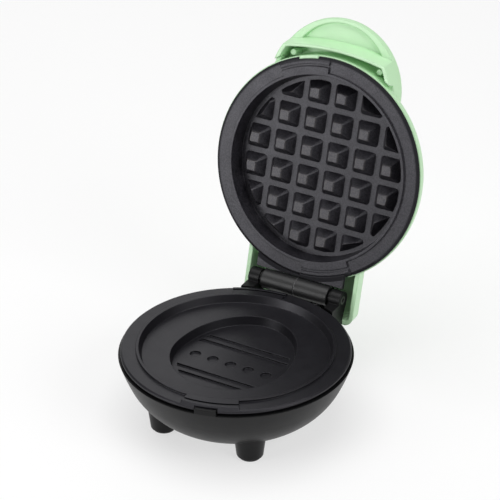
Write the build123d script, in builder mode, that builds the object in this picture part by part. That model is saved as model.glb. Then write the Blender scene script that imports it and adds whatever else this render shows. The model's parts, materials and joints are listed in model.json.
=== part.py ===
"""Mini waffle maker: a round table-top waffle iron with a hinged lid, standing open.

Millimetres. +Z is up, the table is at Z = 0 and the lower plate's axis is the Z axis. The handle is
towards -Y and the hinge towards +Y. The lid's pieces are drawn in LID, the lid's own frame: its XY plane
is where both plates meet when shut, and it stands turned about the hinge by OPEN_ANGLE.
"""

import os
from math import cos, hypot, radians, sin, sqrt, tan

from build123d import *

# Hinge and overall heights
CONTACT_HEIGHT = 44.0
PLATE_GAP = 0.4
OPEN_ANGLE = 105.4

# Rim of both cast plates
PLATE_RADIUS = 62.5
HINGE_MARGIN = 6.5
EDGE_BEVEL = 2.2
EDGE_DROP = 2.0
FLANGE_THICKNESS = 3.0
RIM_WIDTH = 9.9
RECESS_FLARE = 1.6
LIP_WIDTH = 1.6
RIM_DROP = 1.2
LOWER_PAD_ANGLE = 16.6
UPPER_PAD_ANGLE = 15.0
PAD_SPAN = 29.6
GROOVE_INSET = 4.5
GROOVE_WIDTH = 1.4
GROOVE_DEPTH = 1.0
SKIRT_INSET = 2.1
SKIRT_WALL = 1.6
SKIRT_DEPTH = 6.0

# Floors of the plates
UPPER_RECESS = 9.7
UPPER_WALL = 2.0
LOWER_RECESS = 4.3
LOWER_WALL = 2.6

# Rear apron of the upper plate, which covers the hinge, and the groove along it
APRON_HALF_WIDTH = 27.2
APRON_OVERHANG = 0.5
APRON_THICKNESS = 2.4
APRON_INSET = 0.6
APRON_GROOVE_WIDTH = 0.9
APRON_GROOVE_DEPTH = 1.8

# Waffle studs of the upper plate
GRID_PITCH = 16.5
GRID_COUNT = 6
GRID_MARGIN = 2.4
STUD_BASE = 13.2
STUD_TOP = 5.4
STUD_HEIGHT = 6.3
STUD_CORNER = 1.8
STUD_TOP_CORNER = 0.5

# Egg-shaped mould of the lower plate, with plain bands and dots
EGG_SIDE_MARGIN = 18.0
EGG_BLUNT_MARGIN = 19.0
EGG_POINTED_MARGIN = 7.0
EGG_DEPTH = 5.0
EGG_DRAFT = 1.2
EGG_WALL = 2.2
EGG_MARGIN = 4.0
BAND_WIDTH = 3.0
BAND_PITCH = 5.4
BAND_OFFSET = 14.0
DESIGN_DEPTH = 1.0
DOT_RADIUS = 3.0
DOT_PITCH = 11.0
DOT_COUNT = 5

# Base bowl
BOWL_MARGIN = 1.2
BOWL_RIM_DROP = 4.6
BOWL_WALL = 2.4
BOWL_BOTTOM = 3.0
BOWL_RIM_SLOPE = 17.0
BOWL_SIDE_RADIUS = 102.0
BOWL_SIDE_SWEEP = 8.0
PLATE_ROOM = 0.6

# Locating tabs of bowl and lid shell, and the flange notches over them
TAB_WIDTH = 11.6
TAB_THICKNESS = 2.0
BOWL_TAB_RISE = 3.0
LID_TAB_RISE = 1.6
BOWL_TAB_ANGLE = 15.1
LID_TAB_ANGLE = 12.9
TAB_ROOM = 0.5

# Feet and their pads
FOOT_SPREAD_SHARE = 0.4288
FOOT_FRONT_SHARE = 0.512
FOOT_REAR_SHARE = 0.64
FOOT_TIP_RADIUS = 7.2
FOOT_TAPER = 7.0
FOOT_REACH = 20.0
FOOT_LIFT = 1.0
FOOT_TIP_ROUND = 0.8
PAD_RADIUS = 6.0
PAD_SINK = 1.0
PAD_CLEARANCE = 0.1

# Posts and screws that carry the lower plate
REAR_POST_SPREAD_SHARE = 0.576
REAR_POST_SETBACK_SHARE = 0.32
POST_RADIUS = 4.2
BOSS_RADIUS = 3.6
SEAT_WALL = 7.0
SCREW_RADIUS = 1.6
SCREW_BITE = 4.5
SCREW_CLEARANCE = 0.1
HEAD_RADIUS = 2.9
HEAD_HEIGHT = 2.2
HEAD_CLEARANCE = 0.4
DRIVE_RADIUS = 1.3
DRIVE_DEPTH = 1.2

# Heating elements and what presses them to the plates
STACK_GAP = 0.05
LOWER_TUBE_RADIUS = 3.2
LOWER_RING_INSET = 1.6
UPPER_TUBE_RADIUS = 2.6
UPPER_RING_SHARE = 0.48
RING_GAP_ANGLE = 12.0
TERMINAL_TURN = 3.0
TERMINAL_RADIUS = 1.4
LOWER_TERMINAL_LENGTH = 6.0
UPPER_TERMINAL_LENGTH = 5.0
CLAMP_THICKNESS = 0.8
CLAMP_REACH = 3.2
LOWER_CLAMP_WIDTH = 14.5
UPPER_CLAMP_WIDTH = 13.5
UPPER_SCREW_INSET = 9.0
UPPER_SCREW_COUNT = 3
CLAMP_NOTCH_ANGLE = 22.0
SHIELD_THICKNESS = 1.0
SHIELD_FLANGE_INSET = 4.5
SHIELD_FLANGE_WIDTH = 12.5
SHIELD_DEPTH = 11.0
SHIELD_HOLE_RADIUS = 8.5
REFLECTOR_THICKNESS = 0.5
REFLECTOR_REACH = 4.0

# Controls under the lower plate
THERMOSTAT_Y = -8.0
THERMOSTAT_RADIUS = 8.0
THERMOSTAT_HEIGHT = 5.0
THERMOSTAT_CAP_RADIUS = 6.0
THERMOSTAT_CAP_HEIGHT = 2.5
BLADE_SPACING = 7.0
BLADE_WIDTH = 3.0
BLADE_THICKNESS = 0.8
BLADE_LENGTH = 6.0
FUSE_Y = 11.0
FUSE_RADIUS = 1.8
FUSE_LENGTH = 13.0
STRAP_WIDTH = 6.0
STRAP_THICKNESS = 0.8
STRAP_WING = 3.0
BLOCK_Y = 12.0
BLOCK_WIDTH = 22.0
BLOCK_DEPTH = 11.0
BLOCK_HEIGHT = 9.0
BLOCK_WAYS = 3
BLOCK_SCREW_RADIUS = 2.0
BLOCK_SCREW_DEPTH = 3.0

# Cord inlet in the bowl's rear wall
INLET_HEIGHT = 15.0
INLET_BOSS_RADIUS = 8.0
INLET_SINK = 6.5
BUSH_RADIUS = 4.8
BUSH_BORE = 3.2
BUSH_LENGTH = 11.0
BUSH_FLANGE_RADIUS = 6.6
BUSH_FLANGE = 2.0
BUSH_CLEARANCE = 0.05

# Hinge
CHEEK_INNER = 22.4
CHEEK_WIDTH = 6.6
CHEEK_ROUND = 5.0
CHEEK_TOP_DROP = 0.8
CHEEK_REACH = 23.0
CHEEK_FOOT_DROP = 23.5
CHEEK_BACK_ANGLE = 35.0
STOP_INNER = 10.5
STOP_OUTER = 17.0
STOP_GAP = 0.3
PIN_RADIUS = 2.4
PIN_BORE = 1.4
PIN_INNER_END = 10.0
PIN_SEAT_CLEARANCE = 0.02
PIN_RUN_CLEARANCE = 0.05
BARREL_RADIUS = 5.7
BARREL_END_GAP = 1.8
BARREL_SEAM_WIDTH = 0.6
BARREL_SEAM_DEPTH = 0.4
COLLAR_RADIUS = 4.2
COLLAR_LENGTH = 1.2
SHELF_HALF_WIDTH = 17.0
SHELF_BOTTOM = 4.2
SHELF_THICKNESS = 2.4
SHELF_REACH = 11.5
SHELF_SCREW_X = 12.0
SHELF_SCREW_REACH = 8.4

# Lid shell
LID_MARGIN = 0.6
LID_LIP = 3.3
LID_TOP = 24.6
LID_CORNER = 16.0
LID_WALL = 2.0
TAIL_HALF_WIDTH = 34.9
TAIL_WALL = 2.4
TAIL_REACH = 15.0
TAIL_TOP = 16.4
TAIL_CORNER = 5.0
TAIL_EDGE = 3.0
TAIL_DRAFT = 10.0
TAIL_MERGE_Y = 25.0
SHOULDER_X = 28.0

# Visor handle of the lid
VISOR_RADIUS = 36.8
VISOR_FLARE = 8.0
VISOR_INSET = 18.1
VISOR_TOP = 18.4
VISOR_EDGE = 3.2
VISOR_FLOOR = 14.7
PAN_DEPTH = 2.2
PAN_RADIUS = 29.9
PAN_INSET = 12.1
BAR_OVERHANG = 4.9
BAR_WALL = 1.7
BAR_CURVE_RADIUS = 140.0
BAR_DRAFT = 12.0
SLOT_ROOF_WALL = 2.2
SLOT_END_WALL = 2.2
NOTCH_WIDTH = 2.2
NOTCH_HEIGHT = 4.0
PEG_X = 26.6
PEG_INSET = 3.2
PEG_RADIUS = 1.75
PEG_DEPTH = 4.7

# Indicator in the lid
LENS_INSET = 22.5
LENS_RADIUS = 2.4
LENS_PROUD = 0.4
LENS_FLANGE_RADIUS = 3.4
LENS_FLANGE = 1.0
LENS_CLEARANCE = 0.05
LENS_EDGE = 0.6
LAMP_RADIUS = 1.6
LAMP_LENGTH = 9.0

# Leads
LEAD_RADIUS = 0.75
LEAD_BEND = 4.0
LEAD_TIGHT_BEND = 0.9
LEAD_STUB = 6.0
LEAD_EXIT_X = 3.0
LEAD_PASS_INSET = 15.5
LEAD_PASS_HEIGHT = 13.7
LAMP_LEAD_ANGLE = 25.0
CHANNEL_RADIUS = 1.2
CHANNEL_REACH = 23.0
CHANNEL_END_DROP = 18.5

# Places worked out from the sizes above
HINGE_SETBACK = PLATE_RADIUS + HINGE_MARGIN
RECESS_RADIUS = PLATE_RADIUS - RIM_WIDTH
GROOVE_RADIUS = PLATE_RADIUS - GROOVE_INSET
SKIRT_RADIUS = PLATE_RADIUS - SKIRT_INSET
APRON_REAR = PLATE_RADIUS + APRON_OVERHANG
APRON_RADIUS = PLATE_RADIUS - APRON_INSET
FLOOR_RADIUS = RECESS_RADIUS - RECESS_FLARE
GRID_RADIUS = FLOOR_RADIUS - GRID_MARGIN
EGG_HALF_WIDTH = FLOOR_RADIUS - EGG_SIDE_MARGIN
EGG_BLUNT = FLOOR_RADIUS - EGG_BLUNT_MARGIN
EGG_POINTED = FLOOR_RADIUS - EGG_POINTED_MARGIN
BOWL_RADIUS = PLATE_RADIUS + BOWL_MARGIN
BOWL_RIM = CONTACT_HEIGHT - BOWL_RIM_DROP
FOOT_SPREAD = PLATE_RADIUS * FOOT_SPREAD_SHARE
FOOT_FRONT = -PLATE_RADIUS * FOOT_FRONT_SHARE
FOOT_REAR = PLATE_RADIUS * FOOT_REAR_SHARE
REAR_POST_X = PLATE_RADIUS * REAR_POST_SPREAD_SHARE
REAR_POST_Y = PLATE_RADIUS * REAR_POST_SETBACK_SHARE
LOWER_RING_RADIUS = RECESS_RADIUS - LOWER_RING_INSET
LOWER_CLAMP_INNER = LOWER_RING_RADIUS - LOWER_CLAMP_WIDTH
SHIELD_FLANGE_RADIUS = LOWER_RING_RADIUS - SHIELD_FLANGE_INSET
SHIELD_WALL_RADIUS = SHIELD_FLANGE_RADIUS - SHIELD_FLANGE_WIDTH
UPPER_RING_RADIUS = PLATE_RADIUS * UPPER_RING_SHARE
UPPER_CLAMP_INNER = UPPER_RING_RADIUS - UPPER_CLAMP_WIDTH
UPPER_SCREW_RING = UPPER_RING_RADIUS - UPPER_SCREW_INSET
REFLECTOR_RADIUS = UPPER_RING_RADIUS + REFLECTOR_REACH
INLET_FACE = BOWL_RADIUS - INLET_SINK
CHEEK_OUTER = CHEEK_INNER + CHEEK_WIDTH
CHEEK_FOOT_Z = CONTACT_HEIGHT - CHEEK_FOOT_DROP
BARREL_HALF_LENGTH = CHEEK_INNER - BARREL_END_GAP
CHEEK_FOOT_Y = HINGE_SETBACK - CHEEK_REACH
SHELF_REAR = HINGE_SETBACK + SHELF_REACH
SHELF_SCREW_Y = HINGE_SETBACK + SHELF_SCREW_REACH
LID_RADIUS = PLATE_RADIUS + LID_MARGIN
TAIL_END = HINGE_SETBACK + TAIL_REACH
VISOR_CENTRE = LID_RADIUS - VISOR_INSET
PAN_CENTRE = LID_RADIUS - PAN_INSET
BAR_FRONT = LID_RADIUS + BAR_OVERHANG
PEG_Y = LID_RADIUS - PEG_INSET
LENS_SETBACK = PLATE_RADIUS - LENS_INSET
LEAD_PASS_Y = HINGE_SETBACK - LEAD_PASS_INSET
CHANNEL_END_Y = HINGE_SETBACK - CHANNEL_REACH
CHANNEL_END_Z = CONTACT_HEIGHT - CHANNEL_END_DROP
LIP_RADIUS = RECESS_RADIUS + LIP_WIDTH
EGG_WIDEST_Y = (EGG_BLUNT - EGG_POINTED) / 2
LOWER_FACE = CONTACT_HEIGHT - PLATE_GAP / 2
LOWER_BACK = LOWER_FACE - LOWER_RECESS - LOWER_WALL
EGG_BACK = LOWER_FACE - LOWER_RECESS - EGG_DEPTH - EGG_WALL
LOWER_CLAMP_TOP = LOWER_BACK - 2 * STACK_GAP - 2 * LOWER_TUBE_RADIUS
SHIELD_TOP = LOWER_CLAMP_TOP - CLAMP_THICKNESS - STACK_GAP
POST_TOP = SHIELD_TOP - SHIELD_THICKNESS - STACK_GAP
SCREW_SEAT = POST_TOP - SEAT_WALL
UPPER_BACK = PLATE_GAP / 2 + UPPER_RECESS + UPPER_WALL
UPPER_CLAMP_BOTTOM = UPPER_BACK + 2 * STACK_GAP + 2 * UPPER_TUBE_RADIUS
REFLECTOR_BOTTOM = UPPER_CLAMP_BOTTOM + CLAMP_THICKNESS + STACK_GAP
UPPER_HEAD_SEAT = REFLECTOR_BOTTOM + REFLECTOR_THICKNESS + STACK_GAP
CHEEK_MIDDLE = (CHEEK_INNER + CHEEK_OUTER) / 2
SHELF_TOP = SHELF_BOTTOM + SHELF_THICKNESS
TAIL_ROOF = TAIL_TOP - TAIL_WALL
FOOT_SPOTS = [(x, y) for x in (-FOOT_SPREAD, FOOT_SPREAD) for y in (FOOT_FRONT, FOOT_REAR)]
POST_SPOTS = [(-FOOT_SPREAD, FOOT_FRONT), (FOOT_SPREAD, FOOT_FRONT)]
POST_SPOTS += [(-REAR_POST_X, REAR_POST_Y), (REAR_POST_X, REAR_POST_Y)]
SHELF_SPOTS = [(-SHELF_SCREW_X, SHELF_SCREW_Y), (SHELF_SCREW_X, SHELF_SCREW_Y)]

# Frames of the lid and of the two plates, whose Z axes point out of their cooking faces
TILT = radians(OPEN_ANGLE)
HINGE = Vector(0, HINGE_SETBACK, CONTACT_HEIGHT)
LID_BACK = Vector(0, cos(TILT), -sin(TILT))
LID_UP = Vector(0, sin(TILT), cos(TILT))
LID = Plane(origin=HINGE - LID_BACK * HINGE_SETBACK, x_dir=(1, 0, 0), z_dir=LID_UP)
LOWER = Plane(origin=(0, 0, LOWER_FACE))
UPPER = Plane(origin=LID.origin + LID_UP * (PLATE_GAP / 2), x_dir=(1, 0, 0), z_dir=-LID_UP)


def axis_of(frame):
    """The upright axis of a frame."""
    return Axis(frame.origin, frame.z_dir)


def front_section(frame):
    """The plane across a frame: its x is the frame's X and its y the frame's Z."""
    return Plane(origin=frame.origin, x_dir=frame.x_dir, z_dir=-frame.y_dir)


def side_section(frame, x):
    """The plane along a frame at a given X: its x is the frame's Y and its y the frame's Z."""
    return Plane(origin=frame.origin + frame.x_dir * x, x_dir=frame.y_dir, z_dir=frame.x_dir)


def radial_section(frame, angle):
    """The plane through a frame's axis, turned by an angle from the frame's X."""
    turn = radians(angle)
    outward = frame.x_dir * cos(turn) + frame.y_dir * sin(turn)
    return Plane(origin=frame.origin, x_dir=outward, z_dir=outward.cross(frame.z_dir))


def wedge(span, mode):
    """A triangle from the centre, pointing along X, as wide as an angle and longer than the plate."""
    reach = 2 * PLATE_RADIUS
    half = reach * tan(radians(span / 2))
    Polygon((0, 0), (reach, -half), (reach, half), align=None, mode=mode)


def egg_outline(inset, mode=Mode.ADD):
    """An egg with its blunt end to -Y, drawn as two half ellipses and set in by a margin."""
    half_width = EGG_HALF_WIDTH - inset
    with BuildLine() as outline:
        EllipticalCenterArc((0, EGG_WIDEST_Y), half_width, EGG_POINTED - inset, arc_size=180)
        EllipticalCenterArc((0, EGG_WIDEST_Y), half_width, EGG_BLUNT - inset, 180, arc_size=180)
    make_face(outline.edges(), mode=mode)


def bowl_outline(inset):
    """Half section of the bowl: a gently curved side, a tighter turn and a flat bottom, set in by a wall."""
    slope = radians(BOWL_RIM_SLOPE)
    end_angle = BOWL_RIM_SLOPE + BOWL_SIDE_SWEEP
    end = radians(end_angle)
    side_centre = Vector(BOWL_RADIUS, BOWL_RIM) + Vector(-cos(slope), sin(slope)) * BOWL_SIDE_RADIUS
    side_end = side_centre + Vector(cos(end), -sin(end)) * BOWL_SIDE_RADIUS
    turn_radius = (side_end.Y - BOWL_BOTTOM) / (1 - sin(end))
    turn_centre = side_end + Vector(-cos(end), sin(end)) * turn_radius
    with BuildLine() as outline:
        side = CenterArc(side_centre, BOWL_SIDE_RADIUS - inset, -BOWL_RIM_SLOPE, -BOWL_SIDE_SWEEP)
        turn = CenterArc(turn_centre, turn_radius - inset, -end_angle, end_angle - 90)
        Polyline(turn @ 1, (0, (turn @ 1).Y), (0, (side @ 0).Y), side @ 0)
    make_face(outline.edges())


def dome_crown_radius():
    """Radius of the lid's crown, which meets its rounded corner without a crease."""
    rise = LID_TOP - LID_LIP
    run = LID_RADIUS - LID_CORNER
    return (run**2 + rise**2 - LID_CORNER**2) / (2 * (rise - LID_CORNER))


def dome_height(radius, inset):
    """Height of the lid's crown above the plates' meeting plane, outside or set in by a wall."""
    crown = dome_crown_radius()
    return LID_TOP - crown + sqrt((crown - inset) ** 2 - radius**2)


def dome_outline(inset):
    """Half section of the lid's dome: an upright lip, a rounded corner and a low crown."""
    crown = dome_crown_radius()
    corner_centre = Vector(LID_RADIUS - LID_CORNER, LID_LIP)
    crown_centre = Vector(0, LID_TOP - crown)
    joint = corner_centre + (corner_centre - crown_centre).normalized() * (LID_CORNER - inset)
    with BuildLine() as outline:
        lip = Vector(LID_RADIUS - inset, LID_LIP)
        corner = TangentArc(lip, joint, tangent=(0, 1))
        TangentArc(joint, (0, LID_TOP - inset), tangent=corner % 1)
        Polyline((0, LID_TOP - inset), (0, LID_LIP), lip)
    make_face(outline.edges())


def cast_dish(frame, recess, wall, pad_angle):
    """A round plate casting: flange with raised pads and sealing lip, drafted recess and thin skirt."""
    back = recess + wall
    with BuildPart() as casting:
        with BuildSketch(front_section(frame)):
            with BuildLine():
                Polyline(
                    (0, -recess),
                    (FLOOR_RADIUS, -recess),
                    (RECESS_RADIUS, 0),
                    (PLATE_RADIUS - EDGE_BEVEL, 0),
                    (PLATE_RADIUS, -EDGE_DROP),
                    (PLATE_RADIUS, -FLANGE_THICKNESS),
                    (SKIRT_RADIUS, -FLANGE_THICKNESS),
                    (SKIRT_RADIUS, -SKIRT_DEPTH),
                    (SKIRT_RADIUS - SKIRT_WALL, -SKIRT_DEPTH),
                    (SKIRT_RADIUS - SKIRT_WALL, -FLANGE_THICKNESS),
                    (RECESS_RADIUS + wall, -FLANGE_THICKNESS),
                    (FLOOR_RADIUS + wall, -back),
                    (0, -back),
                    close=True,
                )
            make_face()
        revolve(axis=axis_of(frame))
        with BuildSketch(frame):
            Circle(PLATE_RADIUS + EDGE_BEVEL)
            Circle(LIP_RADIUS, mode=Mode.SUBTRACT)
            with PolarLocations(0, 2, start_angle=pad_angle - 90):
                wedge(PAD_SPAN, Mode.SUBTRACT)
        extrude(amount=-RIM_DROP, mode=Mode.SUBTRACT)
        with BuildSketch(frame):
            Circle(GROOVE_RADIUS + GROOVE_WIDTH / 2)
            Circle(GROOVE_RADIUS - GROOVE_WIDTH / 2, mode=Mode.SUBTRACT)
            with PolarLocations(0, 2, start_angle=pad_angle):
                wedge(180 - PAD_SPAN, Mode.SUBTRACT)
        extrude(amount=-GROOVE_DEPTH, mode=Mode.SUBTRACT)
    return casting.part


def tab_outline(outer_radius, angle, room):
    """Plan of a locating tab on a rim, or with room around it, of the notch over it."""
    Circle(outer_radius + room)
    Circle(outer_radius - TAB_THICKNESS - room, mode=Mode.SUBTRACT)
    with PolarLocations(outer_radius, 1, start_angle=angle):
        Rectangle(outer_radius, TAB_WIDTH + 2 * room, mode=Mode.INTERSECT)


def element_ring(frame, ring_radius, tube_radius, height, terminal):
    """A tubular heating element: a ring open towards the hinge, with a terminal pin at each end."""
    with BuildPart() as ring:
        with BuildSketch(radial_section(frame, 90 + RING_GAP_ANGLE)):
            with Locations((ring_radius, height)):
                Circle(tube_radius)
        revolve(axis=axis_of(frame), revolution_arc=360 - 2 * RING_GAP_ANGLE)
        with BuildSketch(frame.offset(height)):
            with Locations(*terminal_spots(ring_radius)):
                Circle(TERMINAL_RADIUS)
        extrude(amount=terminal)
    return ring


def terminal_spots(ring_radius):
    """Where the two terminal pins of an element stand, left one first."""
    turns = [radians(90 + side * (RING_GAP_ANGLE + TERMINAL_TURN)) for side in (1, -1)]
    return [(ring_radius * cos(turn), ring_radius * sin(turn)) for turn in turns]


def lead(points, bends):
    """An insulated lead: a round section swept along straight runs and bends."""
    with BuildPart() as wire:
        with BuildLine() as route:
            FilletPolyline(*points, radius=bends)
        with BuildSketch(Plane(route.line @ 0, z_dir=route.line % 0)):
            Circle(LEAD_RADIUS)
        sweep()
    return wire.part


def lid_points(*points):
    """Points given in the lid's frame, placed in the whole."""
    return [LID.from_local_coords(Vector(*point)) for point in points]


def screws(frame, spots, head_seat, head_side, tip):
    """Pan-head screws: heads seated at a height, on the given side of it, and shanks to their tips."""
    with BuildPart() as group:
        with BuildSketch(frame.offset(head_seat)):
            with Locations(*spots):
                Circle(HEAD_RADIUS)
        extrude(amount=head_side * HEAD_HEIGHT)
        with BuildSketch(frame.offset(head_seat)):
            with Locations(*spots):
                Circle(SCREW_RADIUS)
        extrude(amount=tip - head_seat)
        with BuildSketch(frame.offset(head_seat + head_side * HEAD_HEIGHT)):
            with Locations(*spots):
                RegularPolygon(DRIVE_RADIUS, 6)
        extrude(amount=-head_side * DRIVE_DEPTH, mode=Mode.SUBTRACT)
    return group


# Lower plate: shallow round pan with the egg-shaped mould sunk into its floor
lower_casting = cast_dish(LOWER, LOWER_RECESS, LOWER_WALL, LOWER_PAD_ANGLE)
with BuildPart() as lower_plate:
    add(lower_casting)
    with BuildSketch(LOWER.offset(-LOWER_RECESS)):
        egg_outline(-EGG_WALL)
    with BuildSketch(LOWER.offset(-LOWER_RECESS - EGG_DEPTH - EGG_WALL)):
        egg_outline(EGG_DRAFT - EGG_WALL)
    loft()
    with BuildSketch(Plane.XY.offset(LOWER_CLAMP_TOP + STACK_GAP)):
        with Locations(*POST_SPOTS):
            Circle(BOSS_RADIUS)
    extrude(amount=LOWER_BACK + LOWER_WALL / 2 - LOWER_CLAMP_TOP - STACK_GAP)
    with BuildSketch(LOWER.offset(-LOWER_RECESS)):
        egg_outline(0)
    with BuildSketch(LOWER.offset(-LOWER_RECESS - EGG_DEPTH)):
        egg_outline(EGG_DRAFT)
    loft(mode=Mode.SUBTRACT)
    with BuildSketch(LOWER.offset(-LOWER_RECESS - EGG_DEPTH)):
        for side in (-1, 1):
            for row in (0, 1):
                with Locations((0, EGG_WIDEST_Y + side * (BAND_OFFSET + row * BAND_PITCH))):
                    Rectangle(2 * EGG_HALF_WIDTH, BAND_WIDTH)
        with Locations((0, EGG_WIDEST_Y)):
            with GridLocations(DOT_PITCH, DOT_PITCH, DOT_COUNT, 1):
                Circle(DOT_RADIUS)
        egg_outline(EGG_MARGIN, Mode.INTERSECT)
    extrude(amount=-DESIGN_DEPTH, mode=Mode.SUBTRACT)
    with BuildSketch(Plane.XY.offset(LOWER_CLAMP_TOP)):
        with Locations(*POST_SPOTS):
            Circle(SCREW_RADIUS + SCREW_CLEARANCE)
    extrude(amount=SCREW_BITE + SCREW_CLEARANCE, mode=Mode.SUBTRACT)
    with BuildSketch(Plane.XY.offset(BOWL_RIM)):
        tab_outline(BOWL_RADIUS, BOWL_TAB_ANGLE - 90, TAB_ROOM)
    extrude(amount=BOWL_TAB_RISE + TAB_ROOM, mode=Mode.SUBTRACT)

# Hollow of the bowl, with the posts left standing in it
with BuildPart() as bowl_hollow:
    with BuildSketch(Plane.XZ):
        bowl_outline(BOWL_WALL)
    revolve(axis=Axis.Z)
    with BuildSketch(Plane.XY):
        with Locations(*POST_SPOTS):
            Circle(POST_RADIUS)
    extrude(amount=POST_TOP, mode=Mode.SUBTRACT)

# Rear inlet plane of the bowl, facing +Y
INLET = Plane(origin=(0, INLET_FACE, INLET_HEIGHT), x_dir=(1, 0, 0), z_dir=(0, 1, 0))

# Channel that brings the supply lead up inside the left cheek to the hinge axis
CHANNEL_START = Vector(-CHEEK_MIDDLE, HINGE_SETBACK, CONTACT_HEIGHT)
CHANNEL_END = Vector(-CHEEK_MIDDLE, CHANNEL_END_Y, CHANNEL_END_Z)
CHANNEL = Plane(origin=CHANNEL_START, z_dir=CHANNEL_END - CHANNEL_START)
CHANNEL_LENGTH = (CHANNEL_END - CHANNEL_START).length

# Where the open tail comes to rest: the end of its wall lies along these points of the cheeks' backs
STOP_LEVEL = LID_LIP - STOP_GAP
STOP_UPPER = HINGE + LID_BACK * STOP_INNER + LID_UP * STOP_LEVEL
STOP_LOWER = HINGE + LID_BACK * STOP_OUTER + LID_UP * STOP_LEVEL

# Base bowl: one black moulding with feet, hinge cheeks, posts, front tab and rear inlet
with BuildPart() as base_bowl:
    with BuildSketch(Plane.XZ):
        bowl_outline(0)
    revolve(axis=Axis.Z)
    with BuildSketch(Plane.XY.offset(FOOT_LIFT)):
        with Locations(*FOOT_SPOTS):
            Circle(FOOT_TIP_RADIUS)
    extrude(amount=FOOT_REACH, taper=-FOOT_TAPER)
    fillet(edges().group_by(Axis.Z)[0], FOOT_TIP_ROUND)
    with BuildSketch(INLET):
        Circle(INLET_BOSS_RADIUS)
    extrude(amount=-INLET_FACE / 2)
    for start in (-CHEEK_OUTER, CHEEK_INNER):
        with BuildSketch(Plane.YZ.offset(start)):
            back = radians(CHEEK_BACK_ANGLE)
            with BuildLine():
                Polyline(
                    (CHEEK_FOOT_Y, CONTACT_HEIGHT - CHEEK_TOP_DROP),
                    (HINGE_SETBACK, CONTACT_HEIGHT - CHEEK_TOP_DROP),
                    (HINGE_SETBACK + CHEEK_ROUND * cos(back), CONTACT_HEIGHT - CHEEK_ROUND * sin(back)),
                    (STOP_UPPER.Y, STOP_UPPER.Z),
                    (STOP_LOWER.Y, STOP_LOWER.Z),
                    (CHEEK_FOOT_Y, CHEEK_FOOT_Z),
                    close=True,
                )
            make_face()
            with Locations((HINGE_SETBACK, CONTACT_HEIGHT)):
                Circle(CHEEK_ROUND)
        extrude(amount=CHEEK_OUTER - CHEEK_INNER)
    for start in (-CHEEK_INNER, CHEEK_INNER - COLLAR_LENGTH):
        with BuildSketch(Plane.YZ.offset(start)):
            with Locations((HINGE_SETBACK, CONTACT_HEIGHT)):
                Circle(COLLAR_RADIUS)
        extrude(amount=COLLAR_LENGTH)
    add(bowl_hollow.part, mode=Mode.SUBTRACT)
    with BuildSketch(Plane.XY.offset(BOWL_RIM)):
        Circle(PLATE_RADIUS + PLATE_ROOM)
    extrude(amount=CONTACT_HEIGHT, mode=Mode.SUBTRACT)
    with BuildSketch(Plane.XY.offset(BOWL_RIM)):
        tab_outline(BOWL_RADIUS, BOWL_TAB_ANGLE - 90, 0)
    extrude(amount=BOWL_TAB_RISE)
    with BuildSketch(Plane.XY):
        with Locations(*POST_SPOTS):
            Circle(HEAD_RADIUS + HEAD_CLEARANCE)
    extrude(amount=SCREW_SEAT, mode=Mode.SUBTRACT)
    with BuildSketch(Plane.XY):
        with Locations(*POST_SPOTS):
            Circle(SCREW_RADIUS + SCREW_CLEARANCE)
    extrude(amount=POST_TOP, mode=Mode.SUBTRACT)
    with BuildSketch(Plane.XY):
        with Locations(*FOOT_SPOTS):
            Circle(PAD_RADIUS + PAD_CLEARANCE)
    extrude(amount=FOOT_LIFT + PAD_SINK, mode=Mode.SUBTRACT)
    with BuildSketch(INLET):
        Circle(BUSH_RADIUS + BUSH_CLEARANCE)
    extrude(amount=-INLET_FACE / 2, mode=Mode.SUBTRACT)
    with BuildSketch(Plane.YZ.offset(-CHEEK_OUTER)):
        with Locations((HINGE_SETBACK, CONTACT_HEIGHT)):
            Circle(PIN_RADIUS + PIN_SEAT_CLEARANCE)
    extrude(amount=2 * CHEEK_OUTER, mode=Mode.SUBTRACT)
    with BuildSketch(CHANNEL):
        Circle(CHANNEL_RADIUS)
    extrude(amount=CHANNEL_LENGTH, mode=Mode.SUBTRACT)

# Foot pads
with BuildPart() as foot_pads:
    with BuildSketch(Plane.XY):
        with Locations(*FOOT_SPOTS):
            Circle(PAD_RADIUS)
    extrude(amount=FOOT_LIFT + PAD_SINK - STACK_GAP)

# Hinge pins: tubes fixed in the cheeks, the left one with an opening for the supply lead
with BuildPart() as hinge_pins:
    for start in (-CHEEK_OUTER, PIN_INNER_END):
        with BuildSketch(Plane.YZ.offset(start)):
            with Locations((HINGE_SETBACK, CONTACT_HEIGHT)):
                Circle(PIN_RADIUS)
                Circle(PIN_BORE, mode=Mode.SUBTRACT)
        extrude(amount=CHEEK_OUTER - PIN_INNER_END)
    with BuildSketch(CHANNEL):
        Circle(CHANNEL_RADIUS)
    extrude(amount=PIN_RADIUS, mode=Mode.SUBTRACT)

# Heating element, clamp ring and heat shield under the lower plate
lower_heating_element = element_ring(
    Plane.XY,
    LOWER_RING_RADIUS,
    LOWER_TUBE_RADIUS,
    LOWER_BACK - STACK_GAP - LOWER_TUBE_RADIUS,
    -LOWER_TUBE_RADIUS - LOWER_TERMINAL_LENGTH,
)

with BuildPart() as lower_element_clamp:
    with BuildSketch(Plane.XY.offset(LOWER_CLAMP_TOP)):
        Circle(LOWER_RING_RADIUS + CLAMP_REACH)
        Circle(LOWER_CLAMP_INNER, mode=Mode.SUBTRACT)
        with PolarLocations(0, 1, start_angle=90):
            wedge(2 * CLAMP_NOTCH_ANGLE, Mode.SUBTRACT)
        with Locations(*POST_SPOTS):
            Circle(SCREW_RADIUS + SCREW_CLEARANCE, mode=Mode.SUBTRACT)
    extrude(amount=-CLAMP_THICKNESS)

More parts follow.
